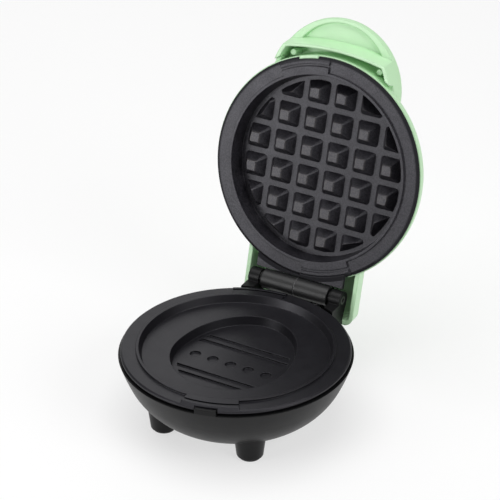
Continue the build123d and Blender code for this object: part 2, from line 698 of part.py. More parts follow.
with BuildPart() as lower_heat_shield:
    with BuildSketch(Plane.XZ):
        with BuildLine():
            Polyline(
                (SHIELD_FLANGE_RADIUS, SHIELD_TOP),
                (SHIELD_WALL_RADIUS - SHIELD_THICKNESS, SHIELD_TOP),
                (SHIELD_WALL_RADIUS - SHIELD_THICKNESS, SHIELD_TOP - SHIELD_DEPTH + SHIELD_THICKNESS),
                (0, SHIELD_TOP - SHIELD_DEPTH + SHIELD_THICKNESS),
                (0, SHIELD_TOP - SHIELD_DEPTH),
                (SHIELD_WALL_RADIUS, SHIELD_TOP - SHIELD_DEPTH),
                (SHIELD_WALL_RADIUS, SHIELD_TOP - SHIELD_THICKNESS),
                (SHIELD_FLANGE_RADIUS, SHIELD_TOP - SHIELD_THICKNESS),
                close=True,
            )
        make_face()
    revolve(axis=Axis.Z)
    with BuildSketch(Plane.XY):
        with Locations(*POST_SPOTS):
            Circle(SCREW_RADIUS + SCREW_CLEARANCE)
        with Locations((0, THERMOSTAT_Y)):
            Circle(SHIELD_HOLE_RADIUS)
    extrude(amount=SHIELD_TOP, mode=Mode.SUBTRACT)

base_screws = screws(Plane.XY, POST_SPOTS, SCREW_SEAT - STACK_GAP, -1, LOWER_CLAMP_TOP + SCREW_BITE)

# Thermostat against the mould's back: body, cap and two blade terminals
THERMOSTAT_TOP = EGG_BACK - STACK_GAP
THERMOSTAT_BOTTOM = THERMOSTAT_TOP - THERMOSTAT_HEIGHT - THERMOSTAT_CAP_HEIGHT
BLADE_BOTTOM = THERMOSTAT_BOTTOM - BLADE_LENGTH
with BuildPart() as thermostat:
    with BuildSketch(Plane.XY.offset(THERMOSTAT_TOP)):
        with Locations((0, THERMOSTAT_Y)):
            Circle(THERMOSTAT_RADIUS)
    extrude(amount=-THERMOSTAT_HEIGHT)
    with BuildSketch(Plane.XY.offset(THERMOSTAT_TOP - THERMOSTAT_HEIGHT)):
        with Locations((0, THERMOSTAT_Y)):
            Circle(THERMOSTAT_CAP_RADIUS)
    extrude(amount=-THERMOSTAT_CAP_HEIGHT)
    with BuildSketch(Plane.XY.offset(THERMOSTAT_BOTTOM)):
        with Locations((0, THERMOSTAT_Y)):
            with GridLocations(BLADE_SPACING, 0, 2, 1):
                Rectangle(BLADE_THICKNESS, BLADE_WIDTH)
    extrude(amount=-BLADE_LENGTH)

# Thermal fuse and the strap that holds it to the mould's back
FUSE_HEIGHT = EGG_BACK - STACK_GAP - FUSE_RADIUS
with BuildPart() as thermal_fuse:
    with BuildSketch(Plane.YZ.offset(-FUSE_LENGTH / 2)):
        with Locations((FUSE_Y, FUSE_HEIGHT)):
            Circle(FUSE_RADIUS)
    extrude(amount=FUSE_LENGTH)
    fillet(edges().filter_by(GeomType.CIRCLE), FUSE_RADIUS / 2)

with BuildPart() as fuse_strap:
    with BuildSketch(Plane.YZ.offset(-STRAP_WIDTH / 2)):
        strap_inner = FUSE_RADIUS + STACK_GAP
        strap_outer = strap_inner + STRAP_THICKNESS
        with Locations((FUSE_Y, FUSE_HEIGHT)):
            Circle(strap_outer)
        with Locations((FUSE_Y, EGG_BACK - STACK_GAP)):
            Rectangle(2 * strap_outer, FUSE_RADIUS, align=(Align.CENTER, Align.MAX))
            Rectangle(2 * (strap_outer + STRAP_WING), STRAP_THICKNESS, align=(Align.CENTER, Align.MAX))
            Rectangle(
                2 * strap_outer, strap_outer, align=(Align.CENTER, Align.MIN), mode=Mode.SUBTRACT
            )
        with Locations((FUSE_Y, FUSE_HEIGHT)):
            Circle(strap_inner, mode=Mode.SUBTRACT)
            Rectangle(
                2 * strap_inner, 2 * strap_outer, align=(Align.CENTER, Align.MIN), mode=Mode.SUBTRACT
            )
    extrude(amount=STRAP_WIDTH)

# Terminal block on the bowl's floor
BLOCK_BOTTOM = BOWL_BOTTOM + BOWL_WALL + STACK_GAP
BLOCK_TOP = BLOCK_BOTTOM + BLOCK_HEIGHT
WAY_PITCH = BLOCK_WIDTH / BLOCK_WAYS
with BuildPart() as terminal_block:
    with BuildSketch(Plane.XY.offset(BLOCK_BOTTOM)):
        with Locations((0, BLOCK_Y)):
            Rectangle(BLOCK_WIDTH, BLOCK_DEPTH)
    extrude(amount=BLOCK_HEIGHT)
    with BuildSketch(Plane.XY.offset(BLOCK_TOP)):
        with Locations((0, BLOCK_Y)):
            with GridLocations(WAY_PITCH, 0, BLOCK_WAYS, 1):
                Circle(BLOCK_SCREW_RADIUS)
    extrude(amount=-BLOCK_SCREW_DEPTH, mode=Mode.SUBTRACT)

# Inlet bush that the cord passes through
with BuildPart() as cord_inlet_bush:
    with BuildSketch(INLET.offset(STACK_GAP)):
        Circle(BUSH_FLANGE_RADIUS)
    extrude(amount=BUSH_FLANGE)
    with BuildSketch(INLET.offset(STACK_GAP)):
        Circle(BUSH_RADIUS)
    extrude(amount=-BUSH_LENGTH)
    with BuildSketch(INLET.offset(STACK_GAP + BUSH_FLANGE)):
        Circle(BUSH_BORE)
    extrude(amount=-BUSH_LENGTH - BUSH_FLANGE, mode=Mode.SUBTRACT)

# Upper plate: deep pan whose floor carries the waffle studs
with BuildPart() as waffle_studs:
    stud_floor = UPPER.offset(-UPPER_RECESS)
    for cell in GridLocations(GRID_PITCH, GRID_PITCH, GRID_COUNT, GRID_COUNT).local_locations:
        x, y = cell.position.X, cell.position.Y
        if hypot(x, y) > GRID_RADIUS:
            continue
        with BuildSketch(stud_floor):
            with Locations((x, y)):
                RectangleRounded(STUD_BASE, STUD_BASE, STUD_CORNER)
        with BuildSketch(stud_floor.offset(STUD_HEIGHT)):
            with Locations((x, y)):
                RectangleRounded(STUD_TOP, STUD_TOP, STUD_TOP_CORNER)
        loft()
    with BuildSketch(stud_floor):
        Circle(GRID_RADIUS)
    with BuildSketch(stud_floor.offset(STUD_HEIGHT)):
        Circle(GRID_RADIUS - (STUD_BASE - STUD_TOP) / 2)
    loft(mode=Mode.INTERSECT)

UPPER_SCREW_SPOTS = [
    (UPPER_SCREW_RING * cos(radians(turn)), UPPER_SCREW_RING * sin(radians(turn)))
    for turn in [360 / UPPER_SCREW_COUNT * step - 90 for step in range(UPPER_SCREW_COUNT)]
]
upper_casting = cast_dish(UPPER, UPPER_RECESS, UPPER_WALL, UPPER_PAD_ANGLE)
with BuildPart() as upper_plate:
    add(upper_casting)
    add(waffle_studs.part)
    with BuildSketch(LID.offset(PLATE_GAP / 2)):
        with Locations((0, APRON_REAR)):
            Rectangle(2 * APRON_HALF_WIDTH, APRON_REAR, align=(Align.CENTER, Align.MAX))
        Circle(APRON_RADIUS - APRON_GROOVE_WIDTH, mode=Mode.SUBTRACT)
    extrude(amount=APRON_THICKNESS)
    with BuildSketch(UPPER):
        Circle(APRON_RADIUS)
        Circle(APRON_RADIUS - APRON_GROOVE_WIDTH, mode=Mode.SUBTRACT)
        with PolarLocations(0, 1, start_angle=-90):
            wedge(90, Mode.INTERSECT)
        with PolarLocations(0, 1, start_angle=UPPER_PAD_ANGLE - 90):
            wedge(PAD_SPAN, Mode.SUBTRACT)
    extrude(amount=-APRON_GROOVE_DEPTH, mode=Mode.SUBTRACT)
    with BuildSketch(LID.offset(UPPER_BACK - UPPER_WALL / 2)):
        with Locations(*UPPER_SCREW_SPOTS):
            Circle(BOSS_RADIUS)
    extrude(amount=UPPER_CLAMP_BOTTOM - STACK_GAP - UPPER_BACK + UPPER_WALL / 2)
    with BuildSketch(LID.offset(UPPER_CLAMP_BOTTOM)):
        with Locations(*UPPER_SCREW_SPOTS):
            Circle(SCREW_RADIUS + SCREW_CLEARANCE)
    extrude(amount=-SCREW_BITE - SCREW_CLEARANCE, mode=Mode.SUBTRACT)
    with BuildSketch(LID.offset(LID_LIP)):
        tab_outline(LID_RADIUS, -90 - LID_TAB_ANGLE, TAB_ROOM)
    extrude(amount=-LID_TAB_RISE - TAB_ROOM, mode=Mode.SUBTRACT)

# Heating element, clamp and reflector behind the upper plate
upper_heating_element = element_ring(
    LID,
    UPPER_RING_RADIUS,
    UPPER_TUBE_RADIUS,
    UPPER_BACK + STACK_GAP + UPPER_TUBE_RADIUS,
    UPPER_TERMINAL_LENGTH,
)

with BuildPart() as upper_element_clamp:
    with BuildSketch(LID.offset(UPPER_CLAMP_BOTTOM)):
        Circle(UPPER_RING_RADIUS + CLAMP_REACH)
        Circle(UPPER_CLAMP_INNER, mode=Mode.SUBTRACT)
        with PolarLocations(0, 1, start_angle=90):
            wedge(2 * CLAMP_NOTCH_ANGLE, Mode.SUBTRACT)
        with Locations(*UPPER_SCREW_SPOTS):
            Circle(SCREW_RADIUS + SCREW_CLEARANCE, mode=Mode.SUBTRACT)
    extrude(amount=CLAMP_THICKNESS)

with BuildPart() as upper_reflector:
    with BuildSketch(LID.offset(REFLECTOR_BOTTOM)):
        Circle(REFLECTOR_RADIUS)
        with PolarLocations(0, 1, start_angle=90):
            wedge(2 * CLAMP_NOTCH_ANGLE, Mode.SUBTRACT)
        with Locations(*UPPER_SCREW_SPOTS):
            Circle(SCREW_RADIUS + SCREW_CLEARANCE, mode=Mode.SUBTRACT)
    extrude(amount=REFLECTOR_THICKNESS)

upper_clamp_screws = screws(
    LID, UPPER_SCREW_SPOTS, UPPER_HEAD_SEAT, 1, UPPER_CLAMP_BOTTOM - SCREW_BITE
)

# Visor handle as a solid hood, before the lid is hollowed
with BuildPart() as visor_hood:
    with BuildSketch(LID.offset(LID_LIP)):
        with Locations((0, -VISOR_CENTRE)):
            Circle(VISOR_RADIUS)
    extrude(amount=VISOR_TOP - LID_LIP, taper=-VISOR_FLARE)
    fillet(faces().sort_by(axis_of(LID))[-1].edges(), VISOR_EDGE)

# Tail of the lid as a solid block, and its hollow
with BuildPart() as tail_block:
    with BuildSketch(LID.offset(LID_LIP)):
        with Locations((0, TAIL_END)):
            Rectangle(2 * TAIL_HALF_WIDTH, TAIL_END - TAIL_MERGE_Y, align=(Align.CENTER, Align.MAX))
        fillet(vertices().sort_by(Axis.Y)[-2:], TAIL_CORNER)
    extrude(amount=TAIL_TOP - LID_LIP, taper=TAIL_DRAFT)
    fillet(faces().sort_by(axis_of(LID))[-1].edges(), TAIL_EDGE)

with BuildPart() as tail_hollow:
    with BuildSketch(LID.offset(LID_LIP)):
        with Locations((0, TAIL_END - TAIL_WALL)):
            Rectangle(
                2 * (TAIL_HALF_WIDTH - TAIL_WALL),
                TAIL_END - TAIL_WALL - TAIL_MERGE_Y,
                align=(Align.CENTER, Align.MAX),
            )
        fillet(vertices().sort_by(Axis.Y)[-2:], TAIL_CORNER - TAIL_WALL)
    extrude(amount=TAIL_ROOF - LID_LIP, taper=TAIL_DRAFT)

# Hollow in front of the lid's rim, open at its ends, with two pegs in it
with BuildPart() as visor_slot:
    with BuildSketch(LID.offset(LID_LIP)):
        with Locations((0, -VISOR_CENTRE)):
            Circle(VISOR_RADIUS - SLOT_END_WALL)
        with Locations((0, BAR_CURVE_RADIUS - BAR_FRONT)):
            Circle(BAR_CURVE_RADIUS - BAR_WALL, mode=Mode.INTERSECT)
        Circle(LID_RADIUS, mode=Mode.SUBTRACT)
    extrude(amount=VISOR_TOP - SLOT_ROOF_WALL - LID_LIP)
    with BuildSketch(LID.offset(LID_LIP)):
        Circle(LID_RADIUS + NOTCH_WIDTH)
        Circle(LID_RADIUS, mode=Mode.SUBTRACT)
        with Locations((0, -VISOR_CENTRE)):
            Rectangle(
                3 * VISOR_RADIUS, 2 * VISOR_RADIUS, align=(Align.CENTER, Align.MAX), mode=Mode.INTERSECT
            )
    extrude(amount=NOTCH_HEIGHT)
    with BuildSketch(LID.offset(LID_LIP + PEG_DEPTH)):
        with Locations((-PEG_X, -PEG_Y), (PEG_X, -PEG_Y)):
            Circle(PEG_RADIUS)
    extrude(amount=VISOR_TOP, mode=Mode.SUBTRACT)

# Finger space under the visor in front of its bar, with a shallow round pan in its roof
with BuildPart() as visor_scoop:
    with BuildSketch(LID.offset(LID_LIP)):
        with Locations((0, -VISOR_CENTRE)):
            Rectangle(3 * VISOR_RADIUS, 2 * VISOR_RADIUS, align=(Align.CENTER, Align.MAX))
        with Locations((0, BAR_CURVE_RADIUS - BAR_FRONT)):
            Circle(BAR_CURVE_RADIUS, mode=Mode.SUBTRACT)
    extrude(amount=VISOR_FLOOR - LID_LIP, taper=BAR_DRAFT)
    with BuildSketch(LID.offset(VISOR_FLOOR - PAN_DEPTH)):
        with Locations((0, -PAN_CENTRE)):
            Rectangle(4 * VISOR_RADIUS, 4 * VISOR_RADIUS)
            Circle(PAN_RADIUS, mode=Mode.SUBTRACT)
    extrude(amount=PAN_DEPTH, mode=Mode.SUBTRACT)

# Lid shell: one green moulding of dome, visor handle and hinge tail
with BuildPart() as lid_shell:
    with BuildSketch(front_section(LID)):
        dome_outline(0)
    revolve(axis=axis_of(LID))
    add(visor_hood.part)
    add(tail_block.part)
    with BuildSketch(front_section(LID)):
        dome_outline(LID_WALL)
    revolve(axis=axis_of(LID), mode=Mode.SUBTRACT)
    add(visor_slot.part, mode=Mode.SUBTRACT)
    add(visor_scoop.part, mode=Mode.SUBTRACT)
    add(tail_hollow.part, mode=Mode.SUBTRACT)
    with BuildSketch(LID.offset(LID_LIP)):
        Circle(LID_RADIUS)
        Circle(LID_RADIUS - LID_WALL, mode=Mode.SUBTRACT)
        with Locations((0, LID_RADIUS)):
            Rectangle(2 * (TAIL_HALF_WIDTH - TAIL_WALL), LID_RADIUS, mode=Mode.INTERSECT)
            Rectangle(2 * SHOULDER_X, LID_RADIUS, mode=Mode.SUBTRACT)
    extrude(amount=TAIL_ROOF + TAIL_WALL / 4 - LID_LIP)
    with BuildSketch(LID.offset(SHELF_TOP + STACK_GAP)):
        with Locations(*SHELF_SPOTS):
            Circle(BOSS_RADIUS)
    extrude(amount=TAIL_TOP - TAIL_WALL / 2 - SHELF_TOP)
    with BuildSketch(LID.offset(SHELF_TOP)):
        with Locations(*SHELF_SPOTS):
            Circle(SCREW_RADIUS + SCREW_CLEARANCE)
    extrude(amount=SCREW_BITE + SCREW_CLEARANCE, mode=Mode.SUBTRACT)
    with BuildSketch(LID.offset(LID_LIP)):
        tab_outline(LID_RADIUS, -90 - LID_TAB_ANGLE, 0)
    extrude(amount=-LID_TAB_RISE)
    with BuildSketch(LID.offset(UPPER_BACK)):
        with Locations((0, -LENS_SETBACK)):
            Circle(LENS_RADIUS + LENS_CLEARANCE)
    extrude(amount=LID_TOP, mode=Mode.SUBTRACT)

# Hinge barrel, with the shelf that is screwed to the lid's tail
with BuildPart() as hinge_barrel:
    with BuildSketch(side_section(LID, -BARREL_HALF_LENGTH)):
        with Locations((HINGE_SETBACK, 0)):
            Circle(BARREL_RADIUS)
    extrude(amount=2 * BARREL_HALF_LENGTH)
    with BuildSketch(LID.offset(SHELF_BOTTOM)):
        with Locations((0, HINGE_SETBACK)):
            Rectangle(2 * SHELF_HALF_WIDTH, SHELF_REAR - HINGE_SETBACK, align=(Align.CENTER, Align.MIN))
    extrude(amount=SHELF_THICKNESS)
    with BuildSketch(side_section(LID, -BARREL_SEAM_WIDTH / 2)):
        with Locations((HINGE_SETBACK, 0)):
            Circle(BARREL_RADIUS)
            Circle(BARREL_RADIUS - BARREL_SEAM_DEPTH, mode=Mode.SUBTRACT)
    extrude(amount=BARREL_SEAM_WIDTH, mode=Mode.SUBTRACT)
    with BuildSketch(side_section(LID, -BARREL_HALF_LENGTH)):
        with Locations((HINGE_SETBACK, 0)):
            Circle(PIN_RADIUS + PIN_RUN_CLEARANCE)
    extrude(amount=2 * BARREL_HALF_LENGTH, mode=Mode.SUBTRACT)
    with BuildSketch(LID):
        with Locations((-LEAD_EXIT_X, HINGE_SETBACK)):
            Circle(CHANNEL_RADIUS)
        with Locations(*SHELF_SPOTS):
            Circle(SCREW_RADIUS + SCREW_CLEARANCE)
    extrude(amount=SHELF_TOP, mode=Mode.SUBTRACT)

hinge_barrel_screws = screws(LID, SHELF_SPOTS, SHELF_BOTTOM - STACK_GAP, -1, SHELF_TOP + SCREW_BITE)

# Indicator: lens through the lid's crown and the lamp under it
LENS_SEAT = dome_height(LENS_SETBACK + LENS_FLANGE_RADIUS, LID_WALL) - STACK_GAP
LENS_TOP = dome_height(LENS_SETBACK - LENS_RADIUS, 0) + LENS_PROUD
LAMP_HEIGHT = LENS_SEAT - LENS_FLANGE - STACK_GAP - LAMP_RADIUS
with BuildPart() as indicator_lens:
    with BuildSketch(LID.offset(LENS_SEAT)):
        with Locations((0, -LENS_SETBACK)):
            Circle(LENS_FLANGE_RADIUS)
    extrude(amount=-LENS_FLANGE)
    with BuildSketch(LID.offset(LENS_SEAT)):
        with Locations((0, -LENS_SETBACK)):
            Circle(LENS_RADIUS)
    extrude(amount=LENS_TOP - LENS_SEAT)
    fillet(faces().sort_by(axis_of(LID))[-1].edges(), LENS_EDGE)

with BuildPart() as indicator_lamp:
    with BuildSketch(side_section(LID, -LAMP_LENGTH / 2)):
        with Locations((-LENS_SETBACK, LAMP_HEIGHT)):
            Circle(LAMP_RADIUS)
    extrude(amount=LAMP_LENGTH)
    fillet(edges().filter_by(GeomType.CIRCLE), LAMP_RADIUS / 2)

# Leads of the base: to the heating element, to the thermostat and up to the hinge
LEAD_END_GAP = 0.1
pin_x, pin_y = terminal_spots(LOWER_RING_RADIUS)[0]
BLOCK_REAR = BLOCK_Y + BLOCK_DEPTH / 2 + LEAD_END_GAP
BLOCK_FRONT = BLOCK_Y - BLOCK_DEPTH / 2 - LEAD_END_GAP
BLOCK_MIDDLE = BLOCK_BOTTOM + BLOCK_HEIGHT / 2
heater_lead = lead(
    [
        (0, BLOCK_REAR, BLOCK_MIDDLE),
        (0, BLOCK_REAR + LEAD_STUB, BLOCK_MIDDLE),
        (pin_x, pin_y - LEAD_STUB, CHANNEL_END_Z),
        (pin_x, pin_y - TERMINAL_RADIUS - LEAD_END_GAP, CHANNEL_END_Z),
    ],
    LEAD_BEND,
)
thermostat_lead = lead(
    [
        (BLADE_SPACING / 2, THERMOSTAT_Y, BLADE_BOTTOM - LEAD_END_GAP),
        (BLADE_SPACING / 2, THERMOSTAT_Y, BLOCK_TOP),
        (WAY_PITCH, BLOCK_FRONT - LEAD_STUB, BLOCK_MIDDLE),
        (WAY_PITCH, BLOCK_FRONT, BLOCK_MIDDLE),
    ],
    LEAD_TIGHT_BEND,
)
hinge_lead = lead(
    [
        (-PIN_INNER_END + LEAD_END_GAP, HINGE_SETBACK, CONTACT_HEIGHT),
        (-CHEEK_MIDDLE, HINGE_SETBACK, CONTACT_HEIGHT),
        (-CHEEK_MIDDLE, CHANNEL_END_Y, CHANNEL_END_Z),
        (-WAY_PITCH, BLOCK_REAR + LEAD_STUB, BLOCK_MIDDLE),
        (-WAY_PITCH, BLOCK_REAR, BLOCK_MIDDLE),
    ],
    LEAD_TIGHT_BEND,
)
with BuildPart() as base_leads:
    add([heater_lead, thermostat_lead, hinge_lead])

# Leads of the lid: from the hinge to the heating element, and from the element to the lamp
UPPER_LEFT, UPPER_RIGHT = terminal_spots(UPPER_RING_RADIUS)
TERMINAL_LEVEL = UPPER_CLAMP_BOTTOM + LEAD_RADIUS + LEAD_END_GAP
TERMINAL_REACH = TERMINAL_RADIUS + LEAD_END_GAP
supply_lead = lead(
    lid_points(
        (-PIN_INNER_END + 2 * LEAD_END_GAP, HINGE_SETBACK, 0),
        (-LEAD_EXIT_X, HINGE_SETBACK, 0),
        (-LEAD_EXIT_X, HINGE_SETBACK, SHELF_TOP + LEAD_STUB / 2),
        (UPPER_LEFT[0], LEAD_PASS_Y, LEAD_PASS_HEIGHT),
        (UPPER_LEFT[0], UPPER_LEFT[1] + LEAD_STUB, TERMINAL_LEVEL),
        (UPPER_LEFT[0], UPPER_LEFT[1] + TERMINAL_REACH, TERMINAL_LEVEL),
    ),
    LEAD_TIGHT_BEND,
)
lamp_corner = LENS_SETBACK * tan(radians(LAMP_LEAD_ANGLE))
lamp_lead = lead(
    lid_points(
        (LAMP_LENGTH / 2 + LEAD_END_GAP, -LENS_SETBACK, LAMP_HEIGHT),
        (lamp_corner, -LENS_SETBACK, LAMP_HEIGHT),
        (LENS_SETBACK, -lamp_corner, LAMP_HEIGHT),
        (LENS_SETBACK, lamp_corner, LAMP_HEIGHT),
        (UPPER_RIGHT[0], UPPER_RIGHT[1] + LEAD_STUB, TERMINAL_LEVEL),
        (UPPER_RIGHT[0], UPPER_RIGHT[1] + TERMINAL_REACH, TERMINAL_LEVEL),
    ),
    LEAD_TIGHT_BEND,
)
with BuildPart() as lid_leads:
    add([supply_lead, lamp_lead])

os.makedirs("parts", exist_ok=True)
pieces = {
    "base_bowl": base_bowl,
    "foot_pads": foot_pads,
    "lower_plate": lower_plate,
    "lower_heating_element": lower_heating_element,
    "lower_element_clamp": lower_element_clamp,
    "lower_heat_shield": lower_heat_shield,
    "base_screws": base_screws,
    "thermostat": thermostat,
    "thermal_fuse": thermal_fuse,
    "fuse_strap": fuse_strap,
    "terminal_block": terminal_block,
    "cord_inlet_bush": cord_inlet_bush,
    "base_leads": base_leads,
    "hinge_pins": hinge_pins,
    "lid_shell": lid_shell,
    "upper_plate": upper_plate,
    "upper_heating_element": upper_heating_element,
    "upper_element_clamp": upper_element_clamp,
    "upper_reflector": upper_reflector,
    "upper_clamp_screws": upper_clamp_screws,
    "hinge_barrel": hinge_barrel,
    "hinge_barrel_screws": hinge_barrel_screws,
    "indicator_lens": indicator_lens,
    "indicator_lamp": indicator_lamp,
    "lid_leads": lid_leads,
}
for name, piece in pieces.items():
    piece.part.label = name
    export_step(piece.part, f"parts/{name}.step")
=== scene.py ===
"""Finishes and studio for a mini waffle maker that stands with its lid open.

Every piece is the maker's own solid, in metres, at its place in the shared frame. This file gives each of
them its finish and sets the floor, the lights and the camera.
"""

import json
from math import cos, pi, radians, sin

import bmesh
import bpy
from bpy.props import FloatProperty, FloatVectorProperty, PointerProperty
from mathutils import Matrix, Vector

bl_info = {
    "name": "Mini waffle maker",
    "version": (1, 0, 0),
    "blender": (4, 5, 0),
    "location": "View3D > Sidebar > Waffle maker",
    "description": "Finishes and studio for a hinged mini waffle maker",
    "category": "Object",
}

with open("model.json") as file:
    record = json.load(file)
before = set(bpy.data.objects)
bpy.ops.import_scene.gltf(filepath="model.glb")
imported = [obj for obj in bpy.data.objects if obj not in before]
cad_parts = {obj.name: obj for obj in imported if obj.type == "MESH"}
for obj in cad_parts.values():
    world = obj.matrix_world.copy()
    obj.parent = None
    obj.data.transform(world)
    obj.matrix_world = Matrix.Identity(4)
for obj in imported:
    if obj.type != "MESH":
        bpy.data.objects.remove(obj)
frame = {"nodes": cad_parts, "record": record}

# Widths, in metres, of the slow changes in the finishes.
DRIFT_SIZE = 0.025
SMEAR_SIZE = 0.009
CLOUD_SIZE = 0.008
BLOTCH_SIZE = 0.006
DUST_SIZE = 0.002
HAZE_SIZE = 0.0012
FLOOR_DRIFT_SIZE = 0.4

# Widths, in metres, of the fine grain of small pieces.
GRIP_SIZE = 0.0004
BLOCK_GRAIN = 0.0006

# Softening, in metres, of the edges of small pieces.
SLEEVE_EDGE = 0.0001
METAL_EDGE = 0.0002
CLEAR_EDGE = 0.0002
SMALL_EDGE = 0.0003
PAD_EDGE = 0.0004

# How a metal's brush lines are scaled along each axis: the smaller, the longer they are.
DRAWN_X = (0.1, 1.0, 1.0)
ROLLED_X = (0.05, 1.0, 1.0)
TURNED_Z = (1.0, 1.0, 0.1)
SHEATH_Z = (1.0, 1.0, 0.2)

# Half the width of the change from ground to pale grain, as a share of the noise.
FLECK_BLUR = 0.12

# Where a mask starts and ends its rise or its fall, in metres.
CROWN_FALL = (0.0030, 0.0060)
DOME_RISE = (0.0150, 0.0160)
# The crest masks place the painted highlight on the flat tops of the upper plate's studs.
CREST_RISE = (0.0025, 0.0030)
CREST_FALL = (0.0040, 0.0048)
GRID_FALL = (0.0470, 0.0485)
# The bevel masks find the upper plate's outer bevel. It is made rougher and darkened as painted shade of the
# gap round the plate.
BEVEL_RISE = (0.0603, 0.0618)
BEVEL_FALL = (0.0635, 0.0640)
# The seam mask's fall places the painted highlight along the barrel's parting line.
SEAM_FALL = (0.0002, 0.0004)
DUST_FALL = (0.0, 0.0015)

# Place and width of each soft light, in metres.
KEY_BOX = ((-0.54, -0.76, 0.24), 0.45)
FILL_BOX = ((1.25, -0.20, 0.85), 0.8)
TOP_BOX = ((-0.15, -0.05, 1.50), 1.4)
SHEEN_BOX = ((-0.75, 1.00, 0.80), 0.9)

# Width of the camera's frame, in millimetres.
SENSOR_WIDTH = 36.0

# Length, in metres, over which a diagonal Wave node repeats at a scale of 1.
WAVE_REPEAT = 0.2 * pi


def colour(name, description, default):
    """A colour that the user may change."""
    return FloatVectorProperty(
        name=name, description=description, default=default, subtype="COLOR", size=3, min=0.0, max=1.0
    )


def length(name, description, default):
    """A length that the user may change."""
    return FloatProperty(
        name=name, description=description, default=default, unit="LENGTH", min=0.0, precision=5
    )


def share(name, description, default):
    """A share from none to all that the user may change."""
    return FloatProperty(
        name=name, description=description, default=default, subtype="FACTOR", min=0.0, max=1.0
    )


def power(name, description, default):
    """A lamp's power that the user may change."""
    return FloatProperty(name=name, description=description, default=default, unit="POWER", min=0.0)


def angle(name, description, default):
    """An angle, given in degrees, that the user may change."""
    return FloatProperty(name=name, description=description, default=radians(default), subtype="ANGLE")


class WaffleColours(bpy.types.PropertyGroup):
    """Colours of the pieces."""

    shell: colour("Lid shell", "Mint green of the lid's moulding", (0.55, 0.825, 0.52))
    coating: colour("Coating", "Ground colour of the non-stick coating", (0.0046, 0.0044, 0.0060))
    fleck: colour("Flecks", "Pale grain in the non-stick coating", (0.024, 0.0226, 0.0276))
    # Painted highlight: a pale colour on the flat crests of the studs, standing in for the light that falls
    # on their tops.
    crest_highlight: colour("Stud crests", "Coating rubbed pale on the crests of the studs", (0.072, 0.068, 0.066))
    bowl: colour("Base bowl", "Satin black of the base", (0.0060, 0.0060, 0.0064))
    barrel: colour("Hinge barrel", "Black of the hinge moulding", (0.0070, 0.0070, 0.0074))
    # Painted highlight: the parting line is real, but its pale tone stands in for the light catching it.
    seam: colour("Barrel seam", "Parting line round the middle of the barrel", (0.16, 0.16, 0.165))
    rubber: colour("Foot pads", "Black rubber under the feet", (0.014, 0.014, 0.014))
    steel: colour("Steel", "Plain sheet steel", (0.56, 0.56, 0.55))
    sheath: colour("Element sheath", "Dull sheath of the heating elements", (0.30, 0.28, 0.26))
    zinc: colour("Screws", "Zinc plating of the screws", (0.66, 0.67, 0.68))
    brass: colour("Fuse brass", "Brass of the thermal fuse", (0.72, 0.55, 0.26))
    aluminium: colour("Reflector", "Bright aluminium of the reflector", (0.83, 0.83, 0.84))
    terminal: colour("Terminal block", "White moulding of the terminal block", (0.78, 0.77, 0.72))
    sleeve: colour("Lead sleeve", "Woven sleeve of the leads", (0.70, 0.67, 0.60))
    lens: colour("Indicator lens", "Clear diffusing lens", (0.86, 0.87, 0.88))
    lamp: colour("Indicator lamp", "Tinted glass of the lamp", (0.90, 0.50, 0.26))


class WaffleTextures(bpy.types.PropertyGroup):
    """Sizes of the finishes' grain and of the softened edges."""

    shell_grain: length("Shell grain", "Width of the grain of the lid's moulding", 0.0006)
    shell_edge: length("Shell edge", "Softening of the lid shell's edges", 0.0011)
    bowl_grain: length("Bowl grain", "Width of the grain of the base moulding", 0.0005)
    bowl_edge: length("Bowl edge", "Softening of the base's edges", 0.0006)
    fleck_size: length("Fleck size", "Width of the coating's grain", 0.0008)
    fleck_share: share("Fleck share", "How much of the coating is pale grain", 0.5)
    peel_size: length("Peel size", "Width of the coating's orange peel", 0.0009)
    coating_edge: length("Coating edge", "Softening of the plates' edges", 0.0005)
    brush_size: length("Brush size", "Width of the brush lines in the metals", 0.0003)
    weave_size: length("Weave size", "Width of a strand in the leads' sleeve", 0.0008)


class WaffleStudio(bpy.types.PropertyGroup):
    """Floor, lights and camera."""

    floor: colour("Floor", "Pale floor", (0.98, 0.98, 0.98))
    floor_reach: length("Floor reach", "Half width of the floor", 6.0)
    floor_lift: share("Floor lift", "Share of plain white that the eye sees in the floor", 0.62)
    ambient: share("Ambient", "Even light from all round", 0.22)
    key: power("Key light", "Soft light from the front left", 3.2)
    fill: power("Fill light", "Soft light from the right", 7.8)
    top: power("Top light", "Soft light from above", 14.5)
    sheen: power("Sheen light", "Soft light from the rear left", 2.3)
    lens: FloatProperty(
        name="Lens", description="Focal length on a 36 mm frame", default=168.99, unit="CAMERA"
    )
    azimuth: angle("Azimuth", "Camera angle round the piece", 29.58)
    elevation: angle("Elevation", "Camera angle above the floor", 30.0)
    distance: length("Distance", "From the camera to its target", 1.2510)
    target: FloatVectorProperty(
        name="Target",
        description="Point the camera looks at",
        default=(0.00025, 0.0148, 0.0954),
        unit="LENGTH",
    )


class Value:
    """A shader socket that Python's operators reckon with."""

    def __init__(self, finish, socket):
        self.finish = finish
        self.socket = socket

    def __add__(self, other):
        return self.finish.math("ADD", self, other)

    def __radd__(self, other):
        return self.finish.math("ADD", other, self)

    def __sub__(self, other):
        return self.finish.math("SUBTRACT", self, other)

    def __rsub__(self, other):
        return self.finish.math("SUBTRACT", other, self)

    def __mul__(self, other):
        return self.finish.math("MULTIPLY", self, other)

    def __rmul__(self, other):
        return self.finish.math("MULTIPLY", other, self)

    def __abs__(self):
        return self.finish.math("ABSOLUTE", self)


